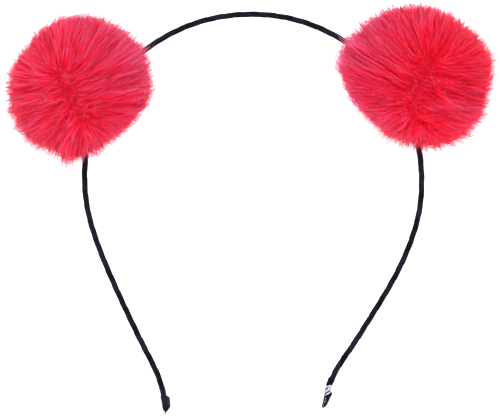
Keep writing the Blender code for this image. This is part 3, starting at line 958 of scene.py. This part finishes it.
def makeRightTip():
    place = tipPlace(bandLength, -1)
    cap = extrudeSections("ribbonCap", [
        ((left + right) / 2, y, 0, right - left, depth) for left, right, y, depth in rightTip["cap"]
    ], rightTip["capTurn"], tipFinish["lip"])
    crumple(cap, size=0.0010, depth=0.00014, cuts=2)
    layDown(cap, place)
    dress(cap, ribbonMat, "ribbon", "ribbon_cap_right")

    heights = np.linspace(rightTip["tapeFrom"], rightTip["tapeTo"], rightTip["tapeRings"])
    across = 2 * rightTip["tapeRadius"]
    tape = extrudeSections("tapeSleeve", [
        (np.interp(y, *rightTip["middle"]), y, 0, across, across) for y in heights
    ])
    crumple(tape, size=0.0009, depth=0.00018, cuts=1)
    layDown(tape, place)
    dress(tape, tapeMat, "tape", "tape_right")

    collar = extrudeSections(
        "ribbonCollar", rightTip["collar"], rightTip["collarTurn"], tipFinish["lip"],
    )
    crumple(collar, size=0.0012, depth=0.00014, cuts=2)
    layDown(collar, place)
    dress(collar, ribbonMat, "ribbon")
    for name, material, slotName in (("nub", frayMat, "ribbon"), ("slit", greyTapeAndPaintedReflectionMat, "tape")):
        piece = extrudeSections("ribbonCap" + name.title(), rightTip[name])
        crumple(piece, size=0.0005, depth=0.00005, cuts=2)
        layDown(piece, place)
        dress(piece, material, slotName)

    for name, strip in rightTip["strips"].items():
        piece = windStrip("ribbonStrip" + name.title(), {**strip, "middle": rightTip["middle"]})
        layDown(piece, place)
        dress(piece, ribbonMat, "ribbon", *(["ribbon_strip_right"] if name == "lower" else []))
    # the ridges' darker grey is painted reflection
    for name, strip in rightTip["ridges"].items():
        piece = windStrip("tapeRidge" + name.title(), {**strip, "middle": rightTip["middle"]})
        layDown(piece, place)
        dress(piece, greyTapeAndPaintedReflectionMat, "tape")
    print("right tip made")


makeLeftTip()
makeRightTip()

# frame nodes that stay: their own finish

finishes = {"band_wire": wireMat, "pompom_tie_left": threadMat, "pompom_tie_right": threadMat}
for name, material in finishes.items():
    mesh = frame["nodes"][name].data
    mesh.materials.clear()
    mesh.materials.append(material)
print("frame nodes finished")


# floor, light and camera

studio = {
    "floor": 3.0,
    "floorColours": ("#f5f5f5", "#f6f6f6"),
    "worldStrength": 1.55,
    "floorGlow": 0.4,  # the paper lies on a light table
    "viewCentre": (-0.001, -0.07768),  # middle of the picture in the band's plane
    "viewWidth": 0.2,  # what the picture's width takes in
    "lens": 150.0, "sensor": 36.0,
    # soft boxes: place in the band's plane, width, power
    "lights": [
        ((-0.5, 0.7, 1.3), 1.2, 4.8), ((0.9, 0.3, 1.0), 0.8, 1.4), ((0.0, 0.0, 0.45), 0.2, 0.54),
    ],
}

deselect()
bpy.ops.mesh.primitive_plane_add(size=studio["floor"], location=(0, 0, 0))
floor = bpy.context.object
floor.name = "floor"
# white seamless paper, matt, with a faint grain 2.5 mm coarse, lit from below
floorMat, tree, shader = startMaterial("seamlessPaper", {
    "Roughness": 0.9, "Specular IOR Level": 0.1,
    "Emission Color": (1, 1, 1, 1), "Emission Strength": studio["floorGlow"],
})
place = addNode(tree, "TexCoord")
grain = addNode(tree, "TexNoise", inputs={
    "Vector": place.outputs["Object"], "Scale": 400.0, "Detail": 2.0,
})
colour = addNode(tree, "ValToRGB", inputs={"Fac": grain.outputs["Fac"]})
setRamp(colour, list(zip((0.3, 0.7), studio["floorColours"])))
tree.links.new(colour.outputs["Color"], shader.inputs["Base Color"])
floor.data.materials.append(floorMat)

world = bpy.data.worlds.new("studio")
bpy.context.scene.world = world
world.use_nodes = True
sky = world.node_tree.nodes["Background"]
sky.inputs["Color"].default_value = (1, 1, 1, 1)
sky.inputs["Strength"].default_value = studio["worldStrength"]

target = bandPlane @ Vector((*studio["viewCentre"], 0))
for number, (place, size, power) in enumerate(studio["lights"]):
    deselect()
    at = bandPlane @ Vector(place)
    bpy.ops.object.light_add(type="AREA", location=at)
    light = bpy.context.object
    light.name = f"softBox{number}"
    light.data.energy = power
    light.data.size = size
    light.rotation_euler = (target - at).to_track_quat("-Z", "Y").to_euler()

cameraData = bpy.data.cameras.new("camera")
cameraData.lens = studio["lens"]
cameraData.sensor_width = studio["sensor"]
camera = bpy.data.objects.new("camera", cameraData)
bpy.context.scene.collection.objects.link(camera)
distance = studio["viewWidth"] * cameraData.lens / cameraData.sensor_width
camera.matrix_world = Matrix.Translation(target + forward * distance) @ bandPlane.to_3x3().to_4x4()
cameraData.clip_start, cameraData.clip_end = 0.05, 20
bpy.context.scene.camera = camera
bpy.context.scene.view_settings.view_transform = "Standard"
print("studio set")
